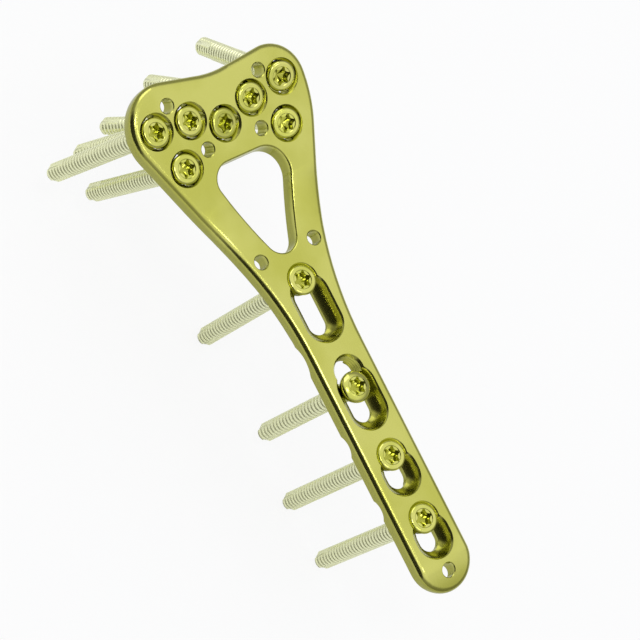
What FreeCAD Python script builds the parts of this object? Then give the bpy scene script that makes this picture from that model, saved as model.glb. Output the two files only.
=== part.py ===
"""Distal radius plate with its locking and cortex screws.

The origin is on the axis of the wire hole at the shaft's tip, in the plane that lies on the
bone. +Y runs along the shaft to the head, +Z points away from the bone.
"""
import FreeCAD, Part
import Sketcher
import math
import os

# Driving dimensions in millimetres, angles in degrees
SIZES = {
    # Plate section
    "plate_thickness": 2.2,
    "shaft_width": 7.9,
    "bend_radius": 30.0,
    "head_angle": 14.5,
    "top_edge_radius": 0.8,
    "under_edge_radius": 0.3,
    # Tip of the shaft
    "tip_overhang": 2.45,
    "tip_corner_radius": 3.9,
    "tip_edge_thickness": 0.97,
    "tip_lift": 0.27,
    "tip_slope_start": 1.2,
    "tip_slope_round": 6.0,
    "tip_ramp_start": 0.2,
    "tip_ramp_round": 4.0,
    # Combination holes, counted from the tip
    "first_hole_along": 6.75,
    "second_hole_step": 8.3,
    "third_hole_step": 11.1,
    "fourth_hole_step": 12.09,
    "last_hole_to_bend": 4.76,
    "round_rim_radius": 2.1,
    "rim_depth": 0.35,
    "slot_offset": 2.0,
    "slot_width": 2.6,
    "first_slot_travel": 0.7,
    "second_slot_travel": 0.7,
    "third_slot_travel": 2.95,
    "fourth_slot_travel": 3.5,
    "short_ramp_radius": 2.55,
    "long_ramp_radius": 2.7,
    "ramp_rise": 0.71,
    "ramp_rim_width": 0.1,
    # Relief scallops under the shaft, between the holes
    "scallop_depth": 0.85,
    "first_scallop_width": 2.9,
    "second_scallop_width": 3.0,
    "third_scallop_width": 4.5,
    "first_scallop_after_hole": 3.15,
    "second_scallop_after_hole": 3.25,
    "third_scallop_after_hole": 3.35,
    # Head: the first hole's place, its neighbours by steps, and the edges beyond the holes
    "head_row_left": 10.7,
    "head_row_along": 14.35,
    "hole_2_step_across": 4.76,
    "hole_2_step_along": -0.38,
    "hole_3_step_across": 4.34,
    "hole_3_step_along": -1.89,
    "hole_4_step_across": 4.55,
    "hole_4_step_along": 1.54,
    "hole_5_step_across": 4.99,
    "hole_5_step_along": 0.85,
    "hole_6_step_across": -1.52,
    "hole_6_step_along": -5.34,
    "hole_7_step_across": 2.17,
    "hole_7_step_along": -5.35,
    "left_margin": 3.1,
    "right_margin": 3.51,
    "left_shoulder_rise": 6.39,
    "left_shoulder_radius": 5.0,
    "right_shoulder_rise": 4.91,
    "right_shoulder_radius": 4.6,
    "dip_shift": 0.9,
    "dip_rise": 5.99,
    "dip_radius": 14.0,
    "left_flank_drop": 1.15,
    "left_flank_radius": 6.0,
    "right_flank_drop": 3.52,
    "right_flank_radius": 16.5,
    "left_neck_before_bend": 3.75,
    "left_neck_radius": 43.5,
    "right_neck_before_bend": 6.5,
    "right_neck_radius": 44.0,
    # Window between the struts
    "window_top_drop": 4.11,
    "window_left_shift": 2.43,
    "window_right_shift": -0.05,
    "window_left_radius": 2.1,
    "window_right_radius": 3.2,
    "window_point_before_bend": 4.8,
    "window_point_radius": 2.1,
    "window_edge_radius": 0.3,
    # Wire holes
    "wire_hole_radius": 0.875,
    "wire_rim_width": 0.1,
    "neck_wire_across": 4.0,
    "neck_wire_before_bend": 0.86,
    "head_wire_1_step_across": 2.47,
    "head_wire_1_step_along": 2.29,
    "head_wire_2_step_across": -2.82,
    "head_wire_2_step_along": 1.84,
    "head_wire_3_step_across": -3.53,
    "head_wire_3_step_along": 0.68,
    "head_wire_4_step_across": 3.56,
    "head_wire_4_step_along": 1.06,
    # Locking holes of the head
    "head_rim_radius": 2.275,
    "head_rim_depth": 0.6,
    "lobe_radius": 0.72,
    "lobe_offset": 1.42,
    # Screws
    "shank_radius": 1.2,
    "lock_head_top_radius": 1.8,
    "lock_head_low_radius": 1.5,
    "lock_head_height": 1.9,
    "lock_head_round": 0.2,
    "head_sink": 0.3,
    "seat_gap": 0.03,
    "neck_cone_height": 0.3,
    "cortex_ball_radius": 1.8,
    "cortex_cap_height": 0.5,
    "cortex_cap_radius": 1.42,
    "cortex_cap_round": 0.3,
    "screw_tip_radius": 0.75,
    "screw_tip_height": 0.8,
    "flute_radius": 0.55,
    "flute_offset": 1.35,
    "flute_length": 4.0,
    # Six-lobed drive recess
    "drive_outer_radius": 1.155,
    "drive_inner_radius": 0.825,
    "drive_flank_radius": 0.498,
    "drive_depth": 1.2,
    "drive_mouth_radius": 1.2,
    "drive_mouth_depth": 0.12,
    # Screw lengths from the plate's top face, and each head screw's lean to the right and
    # towards the joint
    "shaft_locking_screw_1_length": 27.1,
    "shaft_locking_screw_2_length": 27.7,
    "shaft_locking_screw_3_length": 28.0,
    "shaft_cortex_screw_length": 25.3,
    "head_screw_1_length": 24.0,
    "head_screw_1_lean_right": -5.0,
    "head_screw_1_lean_up": -7.0,
    "head_screw_2_length": 24.0,
    "head_screw_2_lean_right": -6.0,
    "head_screw_2_lean_up": -4.0,
    "head_screw_3_length": 24.0,
    "head_screw_3_lean_right": -5.0,
    "head_screw_3_lean_up": 5.0,
    "head_screw_4_length": 24.0,
    "head_screw_4_lean_right": 3.0,
    "head_screw_4_lean_up": 8.0,
    "head_screw_5_length": 22.0,
    "head_screw_5_lean_right": 10.0,
    "head_screw_5_lean_up": 12.0,
    "head_screw_6_length": 20.0,
    "head_screw_6_lean_right": 9.0,
    "head_screw_6_lean_up": 4.0,
    "head_screw_7_length": 24.0,
    "head_screw_7_lean_right": 0.0,
    "head_screw_7_lean_up": -4.0,
}

CUT_PAST = 1.0      # how far a cutter runs past the face that it opens
BLANK_PAST = 2.0    # how far the blank runs past the outline that trims it
CUTTER_DEPTH = 12.0  # reach of a cutter that goes right through
UP = FreeCAD.Vector(0, 0, 1)

# Lengths worked out from the driving dimensions, as expressions
HALF_SHAFT = "(Sizes.shaft_width / 2)"
THICKNESS = "Sizes.plate_thickness"
TIP = "(-Sizes.tip_overhang)"
HOLE_1 = "Sizes.first_hole_along"
HOLE_2 = f"({HOLE_1} + Sizes.second_hole_step)"
HOLE_3 = f"({HOLE_2} + Sizes.third_hole_step)"
HOLE_4 = f"({HOLE_3} + Sizes.fourth_hole_step)"
BEND_START = f"({HOLE_4} + Sizes.last_hole_to_bend)"
HALF_BEND = "tan(Sizes.head_angle / 2)"
BEND_LINE = f"({BEND_START} + Sizes.bend_radius * {HALF_BEND})"
TIP_TOP = "(Sizes.tip_lift + Sizes.tip_edge_thickness)"
TIP_DROP = f"({THICKNESS} - {TIP_TOP})"
TIP_RUN = "(Sizes.tip_slope_start + Sizes.tip_overhang)"
LIFT_RUN = "(Sizes.tip_overhang - Sizes.tip_ramp_start)"

# Each head hole: the hole that its step starts from
HEAD_HOLE_PARENTS = {1: None, 2: 1, 3: 2, 4: 3, 5: 4, 6: 5, 7: 1}
# Each wire hole of the head: the locking hole that its step starts from
HEAD_WIRE_PARENTS = {1: 1, 2: 5, 3: 6, 4: 7}
# Combination holes from the tip: place, slot and ramp
COMBINATION_HOLES = (
    (HOLE_1, "first", "short"),
    (HOLE_2, "second", "short"),
    (HOLE_3, "third", "long"),
    (HOLE_4, "fourth", "long"),
)
LOBE_TURNS = (0, 90, 180, 270)
LOBES_IN_DRIVE = 6
FLUTES = 3

doc = FreeCAD.newDocument("BonePlate")
sheet = doc.addObject("Spreadsheet::Sheet", "Sizes")
for row, (name, value) in enumerate(SIZES.items(), start=1):
    sheet.set(f"A{row}", name)
    sheet.set(f"B{row}", str(value))
    sheet.setAlias(f"B{row}", name)
doc.recompute()


def bind(thing, **sizes):
    """Tie each named property to its expression."""
    for prop, expression in sizes.items():
        thing.setExpression(prop, expression)


def at(across="0", along="0", height="0", yaw="0", pitch="0", roll="0"):
    """Placement expression: a point, and a turn about Z, Y and X."""
    return f"placement(vector({across}; {along}; {height}); rotation({yaw}; {pitch}; {roll}))"


HEAD_FACE = at(along=BEND_LINE, height=THICKNESS, roll="Sizes.head_angle")


def number(thing, expression):
    """Value of an expression on the sheet's sizes."""
    return float(thing.evalExpression(expression))


def head_hole(index):
    """Place of a head hole on the head's top face, from the line of the bend."""
    parent = HEAD_HOLE_PARENTS[index]
    if parent is None:
        return "(-Sizes.head_row_left)", "Sizes.head_row_along"
    across, along = head_hole(parent)
    return (f"({across} + Sizes.hole_{index}_step_across)",
            f"({along} + Sizes.hole_{index}_step_along)")


def plan_along(index):
    """The same place seen from above, measured along the shaft."""
    return f"({BEND_LINE} + {head_hole(index)[1]} * cos(Sizes.head_angle))"


def sketch_on(body, role, name):
    """Sketch on one of the body's origin planes."""
    sketch = body.newObject("Sketcher::SketchObject", name)
    plane = next(item for item in body.Origin.OriginFeatures if item.Role == role)
    sketch.AttachmentSupport = (plane, [""])
    sketch.MapMode = "FlatFace"
    return sketch


def fix_point(sketch, point, across, along):
    """Hold a sketch point at its two expressions."""
    for kind, expression, axis in (("DistanceX", across, -2), ("DistanceY", along, -1)):
        if expression == "0":
            sketch.addConstraint(Sketcher.Constraint("PointOnObject", point, 1, axis))
            continue
        value = number(sketch, expression)
        held = sketch.addConstraint(Sketcher.Constraint(kind, -1, 1, point, 1, value))
        sketch.setExpression(f"Constraints[{held}]", expression)


def corner_arc(spot, before, after, radius):
    """Arc that rounds a corner, its two ends, and whether it runs against the outline."""
    back, ahead = (before - spot).normalize(), (after - spot).normalize()
    half = back.getAngle(ahead) / 2
    start, end = spot + back * (radius / math.tan(half)), spot + ahead * (radius / math.tan(half))
    centre = spot + (back + ahead).normalize() * (radius / math.sin(half))
    against = back.cross(ahead).z > 0
    first, last = (end, start) if against else (start, end)
    angles = [math.atan2(*reversed((end_point - centre)[:2])) for end_point in (first, last)]
    arc = Part.ArcOfCircle(Part.Circle(centre, UP, radius), *angles)
    return arc, start, end, against


def rounded_loop(sketch, corners):
    """Closed outline through named corners, each rounded to its own radius or left sharp."""
    spots = [FreeCAD.Vector(number(sketch, x), number(sketch, y), 0) for x, y, _ in corners]
    count = len(corners)
    starts, ends, arcs = list(spots), list(spots), {}
    points = []
    for i, (across, along, radius) in enumerate(corners):
        point = sketch.addGeometry(Part.Point(spots[i]), True)
        fix_point(sketch, point, across, along)
        points.append(point)
        if radius is None:
            continue
        arc, starts[i], ends[i], against = corner_arc(
            spots[i], spots[i - 1], spots[(i + 1) % count], number(sketch, radius))
        arcs[i] = sketch.addGeometry(arc), (2, 1) if against else (1, 2)
    lines = [sketch.addGeometry(Part.LineSegment(ends[i], starts[(i + 1) % count]))
             for i in range(count)]
    ties = []
    for i in range(count):
        for corner, line_end in ((i, 1), ((i + 1) % count, 2)):
            if corner in arcs:
                arc, (arc_start, arc_end) = arcs[corner]
                ties.append(Sketcher.Constraint("PointOnObject", points[corner], 1, lines[i]))
                ties.append(Sketcher.Constraint("Tangent", lines[i], line_end, arc,
                                                arc_end if line_end == 1 else arc_start))
            else:
                ties.append(Sketcher.Constraint("Coincident", lines[i], line_end,
                                                points[corner], 1))
    sketch.addConstraint(ties)
    for i, (arc, _) in arcs.items():
        radius = corners[i][2]
        held = sketch.addConstraint(
            Sketcher.Constraint("Radius", arc, number(sketch, radius)))
        sketch.setExpression(f"Constraints[{held}]", radius)


def circle(sketch, across, along, radius):
    """Circle held by its centre and radius."""
    centre = FreeCAD.Vector(number(sketch, across), number(sketch, along), 0)
    ring = sketch.addGeometry(Part.Circle(centre, UP, number(sketch, radius)))
    point = sketch.addGeometry(Part.Point(centre), True)
    fix_point(sketch, point, across, along)
    sketch.addConstraint(Sketcher.Constraint("Coincident", ring, 3, point, 1))
    held = sketch.addConstraint(Sketcher.Constraint("Radius", ring, number(sketch, radius)))
    sketch.setExpression(f"Constraints[{held}]", radius)


def pocket_through(body, sketch, name):
    """Cut a sketch through the whole body, both ways."""
    pocket = body.newObject("PartDesign::Pocket", name)
    pocket.Profile = sketch
    pocket.Type = "ThroughAll"
    pocket.SideType = "Symmetric"
    doc.recompute()
    return pocket


def rim_edges(shape, side):
    """Names of the edges between an upright wall and the face on the given side, +1 or -1."""
    steep, level = 0.3, 0.8
    names = []
    for index, edge in enumerate(shape.Edges, start=1):
        middle = edge.valueAt((edge.FirstParameter + edge.LastParameter) / 2)
        tilts = []
        for face in shape.ancestorsOfType(edge, Part.Face):
            tilts.append(face.normalAt(*face.Surface.parameter(middle)).z)
        if len(tilts) == 2 and min(map(abs, tilts)) < steep and max(side * z for z in tilts) > level:
            names.append(f"Edge{index}")
    return names


def round_edges(body, name, names, radius):
    """Fillet on the named edges of the body's last feature."""
    fillet = body.newObject("PartDesign::Fillet", name)
    fillet.Base = (fillet.BaseFeature, names)
    bind(fillet, Radius=radius)
    doc.recompute()
    return fillet


def side_profile(body):
    """The plate seen from the side: tapered tip, flat shaft and bent head."""
    past_tip = f"({TIP} - {BLANK_PAST})"
    past_head = f"({plan_along(1)} + Sizes.left_shoulder_rise + {BLANK_PAST})"
    top_fall = f"({TIP_TOP} - {BLANK_PAST} * {TIP_DROP} / {TIP_RUN})"
    under_rise = f"(Sizes.tip_lift * (1 + {BLANK_PAST} / {LIFT_RUN}))"
    low_bend = f"({BEND_LINE} + {THICKNESS} * {HALF_BEND})"
    sketch = sketch_on(body, "YZ_Plane", "SideProfile")
    rounded_loop(sketch, [
        (past_tip, under_rise, None),
        ("(-Sizes.tip_ramp_start)", "0", "Sizes.tip_ramp_round"),
        (low_bend, "0", f"Sizes.bend_radius + {THICKNESS}"),
        (past_head, f"(({past_head} - {low_bend}) * tan(Sizes.head_angle))", None),
        (past_head, f"({THICKNESS} + ({past_head} - {BEND_LINE}) * tan(Sizes.head_angle))", None),
        (BEND_LINE, THICKNESS, "Sizes.bend_radius"),
        ("Sizes.tip_slope_start", THICKNESS, "Sizes.tip_slope_round"),
        (past_tip, top_fall, None),
    ])
    return sketch


LEFT_EDGE = f"({head_hole(1)[0]} - Sizes.left_margin)"
RIGHT_EDGE = f"({head_hole(5)[0]} + Sizes.right_margin)"
HALF_WIDTH = f"max({RIGHT_EDGE}; -({LEFT_EDGE}))"


def outline_corners():
    """The plate seen from above: corners and the radius of each."""
    left, right = LEFT_EDGE, RIGHT_EDGE
    tip_round = f"min(Sizes.tip_corner_radius; {HALF_SHAFT} * 0.99)"
    return [
        (HALF_SHAFT, TIP, tip_round),
        (HALF_SHAFT, f"({BEND_START} - Sizes.right_neck_before_bend)", "Sizes.right_neck_radius"),
        (right, f"({plan_along(5)} - Sizes.right_flank_drop)", "Sizes.right_flank_radius"),
        (right, f"({plan_along(5)} + Sizes.right_shoulder_rise)", "Sizes.right_shoulder_radius"),
        (f"({head_hole(3)[0]} + Sizes.dip_shift)", f"({plan_along(3)} + Sizes.dip_rise)",
         "Sizes.dip_radius"),
        (left, f"({plan_along(1)} + Sizes.left_shoulder_rise)", "Sizes.left_shoulder_radius"),
        (left, f"({plan_along(1)} - Sizes.left_flank_drop)", "Sizes.left_flank_radius"),
        (f"(-{HALF_SHAFT})", f"({BEND_START} - Sizes.left_neck_before_bend)",
         "Sizes.left_neck_radius"),
        (f"(-{HALF_SHAFT})", TIP, tip_round),
    ]


def trim_outline(body):
    """Cut away all that lies outside the plate's outline."""
    past = 2 * BLANK_PAST
    low, high = f"({TIP} - {past})", f"({plan_along(1)} + Sizes.left_shoulder_rise + {past})"
    left, right = f"(-{HALF_WIDTH} - {past})", f"({HALF_WIDTH} + {past})"
    sketch = sketch_on(body, "XY_Plane", "Outline")
    rounded_loop(sketch, [(left, low, None), (right, low, None),
                          (right, high, None), (left, high, None)])
    rounded_loop(sketch, outline_corners())
    return pocket_through(body, sketch, "OutlineCut")


def cut_window(body):
    """Triangular window between the two struts."""
    top = f"({plan_along(3)} - Sizes.window_top_drop)"
    sketch = sketch_on(body, "XY_Plane", "Window")
    rounded_loop(sketch, [
        ("0", f"({BEND_START} - Sizes.window_point_before_bend)", "Sizes.window_point_radius"),
        (f"({head_hole(6)[0]} + Sizes.window_right_shift)", top, "Sizes.window_right_radius"),
        (f"({head_hole(7)[0]} + Sizes.window_left_shift)", top, "Sizes.window_left_radius"),
    ])
    return pocket_through(body, sketch, "WindowCut")


def cut_scallops(body):
    """Shallow arcs across the underside, one between each two holes."""
    sketch = sketch_on(body, "YZ_Plane", "Scallops")
    for name, hole in (("first", HOLE_1), ("second", HOLE_2), ("third", HOLE_3)):
        depth = "Sizes.scallop_depth"
        radius = f"((Sizes.{name}_scallop_width ^ 2 / 4 + {depth} ^ 2) / (2 * {depth}))"
        circle(sketch, f"({hole} + Sizes.{name}_scallop_after_hole)",
               f"({depth} - {radius})", radius)
    return pocket_through(body, sketch, "ScallopCut")


def plate_blank():
    """The plate without its round holes and slots."""
    body = doc.addObject("PartDesign::Body", "PlateBlank")
    profile = side_profile(body)
    pad = body.newObject("PartDesign::Pad", "Slab")
    pad.Profile = profile
    pad.SideType = "Symmetric"
    bind(pad, Length=f"2 * {HALF_WIDTH} + 2 * {BLANK_PAST}")
    doc.recompute()
    trimmed = trim_outline(body)
    radius = "min(Sizes.top_edge_radius; Sizes.tip_edge_thickness * 0.9)"
    topped = round_edges(body, "TopEdges", rim_edges(trimmed.Shape, 1), radius)
    round_edges(body, "UnderEdges", rim_edges(topped.Shape, -1), "Sizes.under_edge_radius")
    windowed = cut_window(body)
    rims = [name for name in rim_edges(windowed.Shape, 1) if in_window(windowed.Shape, name)]
    round_edges(body, "WindowEdges", rims, "Sizes.window_edge_radius")
    cut_scallops(body)
    return body


def in_window(shape, name):
    """True for an edge that lies between the struts."""
    left = number(sheet, f"{head_hole(7)[0]}")
    right = number(sheet, f"{head_hole(6)[0]}")
    top = number(sheet, f"{plan_along(3)}")
    box = shape.getElement(name).BoundBox
    return left < box.XMin and box.XMax < right + 1 and box.YMax < top


def cone(name, low_radius, high_radius, height, where):
    """Conical cutter standing on its placement."""
    item = doc.addObject("Part::Cone", name)
    bind(item, Radius1=low_radius, Radius2=high_radius, Height=height, Placement=where)
    return item


def drill(name, radius, where):
    """Round cutter that reaches both ways from its placement."""
    item = doc.addObject("Part::Cylinder", name)
    item.Height = 2 * CUTTER_DEPTH
    bind(item, Radius=radius, Placement=f"{where} * {at(height=str(-CUTTER_DEPTH))}")
    return item


def wire_rim(name, where):
    """Bevel of a wire hole's rim, at 45 degrees to the face at its placement."""
    rim, bore = "Sizes.wire_rim_width", "Sizes.wire_hole_radius"
    # The cone's low end stays inside the bore, also where the face slopes
    return cone(name, f"{bore} - {rim}", f"{bore} + {rim} + {CUT_PAST}",
                f"2 * {rim} + {CUT_PAST}", f"{where} * {at(height=f'-2 * {rim}')}")


def wire_hole(name, where):
    """Thin bore with a bevelled rim, from the face at its placement."""
    return [drill(name, "Sizes.wire_hole_radius", where), wire_rim(f"{name}Rim", where)]


def seat_cone(name, where):
    """Seat of a locking head, along the screw's own axis."""
    slope = "((Sizes.lock_head_top_radius - Sizes.lock_head_low_radius) / Sizes.lock_head_height)"
    low = f"Sizes.lock_head_low_radius + Sizes.seat_gap - {slope} * {CUT_PAST}"
    high = f"Sizes.lock_head_top_radius + Sizes.seat_gap + {slope} * {CUT_PAST}"
    foot = f"-(Sizes.head_sink + Sizes.lock_head_height + {CUT_PAST})"
    return cone(name, low, high, f"Sizes.lock_head_height + 2 * {CUT_PAST}",
                f"{where} * {at(height=foot)}")


def rim_cone(name, rim_radius, depth, where):
    """Bevel from the hole's rim down to the seat."""
    seat = "(Sizes.lock_head_top_radius + Sizes.seat_gap)"
    slope = f"(({rim_radius} - {seat}) / {depth})"
    return cone(name, seat, f"{rim_radius} + {slope} * {CUT_PAST}", f"{depth} + {CUT_PAST}",
                f"{where} * {at(height=f'-({depth})')}")


def head_locking_hole(index):
    """Round rim, four lobes down the wall and a seat that leans with the screw."""
    across, along = head_hole(index)
    square = f"{HEAD_FACE} * {at(across, along)}"
    lean = at(pitch=f"-Sizes.head_screw_{index}_lean_right",
              roll=f"Sizes.head_screw_{index}_lean_up")
    cutters = [rim_cone(f"HeadRim{index}", "Sizes.head_rim_radius", "Sizes.head_rim_depth", square),
               seat_cone(f"HeadSeat{index}", f"{square} * {lean}")]
    for turn in LOBE_TURNS:
        reach = (f"Sizes.lobe_offset * cos({turn})", f"Sizes.lobe_offset * sin({turn})")
        cutters.append(drill(f"HeadLobe{index}_{turn}", "Sizes.lobe_radius",
                             f"{square} * {at(*reach)}"))
    return cutters


def slot_ends(hole, travel):
    """Centres of a slot's near and far end."""
    near = f"({hole} - Sizes.slot_offset)"
    return near, f"({near} - {travel})"


def ball_slot(name, hole, travel, radius, centre_height):
    """Cutter of a ball that runs along the slot: the ramp on which a domed head slides."""
    near, far = slot_ends(hole, travel)
    cutters = []
    for end, along, yaw in (("Near", near, "0"), ("Far", far, "180")):
        ball = doc.addObject("Part::Sphere", f"{name}{end}")
        ball.Angle3 = 180
        bind(ball, Radius=radius, Placement=at(along=along, height=centre_height, yaw=yaw))
        cutters.append(ball)
    run = doc.addObject("Part::Cylinder", f"{name}Run")
    bind(run, Radius=radius, Height=travel,
         Placement=at(along=near, height=centre_height, roll="90"))
    return cutters + [run]


def through_slot(name, hole, travel):
    """Cutter with upright walls and round ends, right through the plate."""
    near, far = slot_ends(hole, travel)
    cutters = []
    for end, along, yaw in (("Near", near, "0"), ("Far", far, "180")):
        half = doc.addObject("Part::Cylinder", f"{name}{end}")
        half.Angle, half.Height = 180, 2 * CUTTER_DEPTH
        bind(half, Radius="Sizes.slot_width / 2",
             Placement=at(along=along, height=str(-CUTTER_DEPTH), yaw=yaw))
        cutters.append(half)
    run = doc.addObject("Part::Box", f"{name}Run")
    run.Height = 2 * CUTTER_DEPTH
    bind(run, Length="Sizes.slot_width", Width=travel,
         Placement=at("-Sizes.slot_width / 2", far, str(-CUTTER_DEPTH)))
    return cutters + [run]


def combination_hole(index, hole, travel, ramp_radius):
    """Round locking part joined to a slot with a ramp."""
    top = at(along=hole, height=THICKNESS)
    cutters = [rim_cone(f"ShaftRim{index}", "Sizes.round_rim_radius", "Sizes.rim_depth", top),
               seat_cone(f"ShaftSeat{index}", top)]
    cutters += through_slot(f"Slot{index}", hole, travel)
    height = f"({THICKNESS} + Sizes.ramp_rise)"
    cutters += ball_slot(f"Ramp{index}", hole, travel, ramp_radius, height)
    # The rim's bevel is the same ball slot, wider and set higher, at 45 degrees to the face
    half_width = f"sqrt({ramp_radius} ^ 2 - Sizes.ramp_rise ^ 2)"
    rim_half_width = f"({half_width} + Sizes.ramp_rim_width)"
    cutters += ball_slot(f"RampRim{index}", hole, travel, f"{rim_half_width} * sqrt(2)",
                         f"({THICKNESS} + {rim_half_width})")
    return cutters


def plate():
    """The blank with all its holes cut."""
    blank = plate_blank()
    tip_slope = f"atan({TIP_DROP} / {TIP_RUN})"
    tip_height = f"({THICKNESS} - Sizes.tip_slope_start * {TIP_DROP} / {TIP_RUN})"
    cutters = [drill("TipWire", "Sizes.wire_hole_radius", at()),
               wire_rim("TipWireRim", at(height=tip_height, roll=tip_slope))]
    neck = f"({BEND_START} - Sizes.neck_wire_before_bend)"
    for side, across in (("Left", "-Sizes.neck_wire_across"), ("Right", "Sizes.neck_wire_across")):
        cutters += wire_hole(f"NeckWire{side}", at(across, neck, THICKNESS))
    for index, parent in HEAD_WIRE_PARENTS.items():
        across, along = head_hole(parent)
        place = at(f"{across} + Sizes.head_wire_{index}_step_across",
                   f"{along} + Sizes.head_wire_{index}_step_along")
        cutters += wire_hole(f"HeadWire{index}", f"{HEAD_FACE} * {place}")
    for index in HEAD_HOLE_PARENTS:
        cutters += head_locking_hole(index)
    for index, (hole, name, ramp) in enumerate(COMBINATION_HOLES, start=1):
        cutters += combination_hole(index, hole, f"Sizes.{name}_slot_travel",
                                    f"Sizes.{ramp}_ramp_radius")
    tools = doc.addObject("Part::MultiFuse", "HoleCutters")
    tools.Shapes = cutters
    cut = doc.addObject("Part::Cut", "BonePlateCut")
    cut.Base = blank
    cut.Tool = tools
    cut.Label = "bone_plate"
    return cut


def revolve(body, corners):
    """Turned body from a half section beside the axis."""
    sketch = sketch_on(body, "XZ_Plane", "HalfSection")
    rounded_loop(sketch, corners)
    turned = body.newObject("PartDesign::Revolution", "Turned")
    turned.Profile = sketch
    turned.ReferenceAxis = (sketch, ["V_Axis"])
    turned.Angle = 360
    doc.recompute()
    return turned


def pattern_round(body, feature, name, count):
    """Repeat a feature round the screw's axis."""
    pattern = body.newObject("PartDesign::PolarPattern", name)
    pattern.Originals = [feature]
    axis = next(item for item in body.Origin.OriginFeatures if item.Role == "Z_Axis")
    pattern.Axis = (axis, [""])
    pattern.Angle = 360
    pattern.Occurrences = count
    body.Tip = pattern
    doc.recompute()


def drive_lobe_reach():
    """Distance of a drive lobe's centre from the axis, tangent to its two flanks."""
    flank_reach = "(Sizes.drive_inner_radius + Sizes.drive_flank_radius)"
    outer = "(Sizes.drive_outer_radius + Sizes.drive_flank_radius)"
    spread = f"cos({180 / LOBES_IN_DRIVE})"
    reach = f"(({outer} ^ 2 - {flank_reach} ^ 2) / (2 * ({outer} - {flank_reach} * {spread})))"
    return flank_reach, reach


def sketch_arc(sketch, centre, first, last, radius):
    """Arc run anticlockwise from the direction of one point to that of another."""
    angles = [math.atan2(spot.y - centre.y, spot.x - centre.x) for spot in (first, last)]
    return sketch.addGeometry(Part.ArcOfCircle(Part.Circle(centre, UP, radius), *angles))


def drive_sector(sketch):
    """One sixth of the drive recess: two flanks that run tangent into a rounded lobe."""
    flank_reach, lobe_reach = drive_lobe_reach()
    half_sector = 180 / LOBES_IN_DRIVE
    inner, flank, outer, reach = (number(sheet, size) for size in (
        "Sizes.drive_inner_radius", "Sizes.drive_flank_radius", "Sizes.drive_outer_radius",
        lobe_reach))
    axis, lobe_centre = FreeCAD.Vector(0, 0, 0), FreeCAD.Vector(reach, 0, 0)
    flanks, lines, touches = [], [], []
    for side in (-1, 1):
        angle = math.radians(side * half_sector)
        ray = FreeCAD.Vector(math.cos(angle), math.sin(angle), 0)
        centre, near = ray * (inner + flank), ray * inner
        touch = lobe_centre + (centre - lobe_centre).normalize() * (outer - reach)
        touches.append(touch)
        ends = (touch, near) if side < 0 else (near, touch)
        flanks.append(sketch_arc(sketch, centre, *ends, flank))
        lines.append(sketch.addGeometry(Part.LineSegment(axis, near)))
        point = sketch.addGeometry(Part.Point(centre), True)
        fix_point(sketch, point, f"{flank_reach} * cos({half_sector})",
                  f"{side} * {flank_reach} * sin({half_sector})")
        near_end = 2 if side < 0 else 1
        sketch.addConstraint([
            Sketcher.Constraint("Coincident", flanks[-1], 3, point, 1),
            Sketcher.Constraint("Coincident", lines[-1], 1, -1, 1),
            Sketcher.Constraint("Coincident", lines[-1], 2, flanks[-1], near_end),
            Sketcher.Constraint("PointOnObject", point, 1, lines[-1]),
        ])
    lobe = sketch_arc(sketch, lobe_centre, *touches, outer - reach)
    sketch.addConstraint([
        Sketcher.Constraint("Tangent", flanks[0], 1, lobe, 1),
        Sketcher.Constraint("Tangent", lobe, 2, flanks[1], 2),
        Sketcher.Constraint("PointOnObject", lobe, 3, -1),
    ])
    held = sketch.addConstraint(Sketcher.Constraint("DistanceX", -1, 1, lobe, 3, reach))
    sketch.setExpression(f"Constraints[{held}]", lobe_reach)
    held = sketch.addConstraint(Sketcher.Constraint("Radius", flanks[1], flank))
    sketch.setExpression(f"Constraints[{held}]", "Sizes.drive_flank_radius")


def cut_drive(body, top):
    """Six-lobed recess sunk into the head's top face."""
    sketch = sketch_on(body, "XY_Plane", "DriveSector")
    bind(sketch, **{"AttachmentOffset.Base.z": top})
    drive_sector(sketch)
    pocket = body.newObject("PartDesign::Pocket", "DriveLobe")
    pocket.Profile = sketch
    bind(pocket, Length="Sizes.drive_depth")
    doc.recompute()
    pattern_round(body, pocket, "Drive", LOBES_IN_DRIVE)


def cut_flutes(body, tip):
    """Cutting flutes at the screw's tip."""
    sketch = sketch_on(body, "XY_Plane", "Flute")
    bind(sketch, **{"AttachmentOffset.Base.z": tip})
    circle(sketch, "Sizes.flute_offset", "0", "Sizes.flute_radius")
    pocket = body.newObject("PartDesign::Pocket", "FluteCut")
    pocket.Profile = sketch
    pocket.Reversed = True
    bind(pocket, Length="Sizes.flute_length")
    doc.recompute()
    pattern_round(body, pocket, "Flutes", FLUTES)


def screw(name, head, top, where, ball=None):
    """Screw turned from a half section, with its drive recess and its cutting flutes."""
    body = doc.addObject("PartDesign::Body", name)
    body.Label = name
    tip = f"(-Sizes.{name}_length)"
    revolve(body, head + [
        ("Sizes.shank_radius", f"({tip} + Sizes.screw_tip_height)", None),
        ("Sizes.screw_tip_radius", tip, None),
        ("0", tip, None),
    ])
    if ball:
        add_ball(body, *ball)
    cut_drive(body, top)
    cut_flutes(body, tip)
    bind(body, Placement=where)
    return body


def add_ball(body, radius, centre):
    """Lower half of a ball, under the screw's head."""
    ball = body.newObject("PartDesign::AdditiveSphere", "Ball")
    ball.Angle1, ball.Angle2 = -90, 0
    bind(ball, Radius=radius, Placement=at(height=centre))
    doc.recompute()


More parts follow.
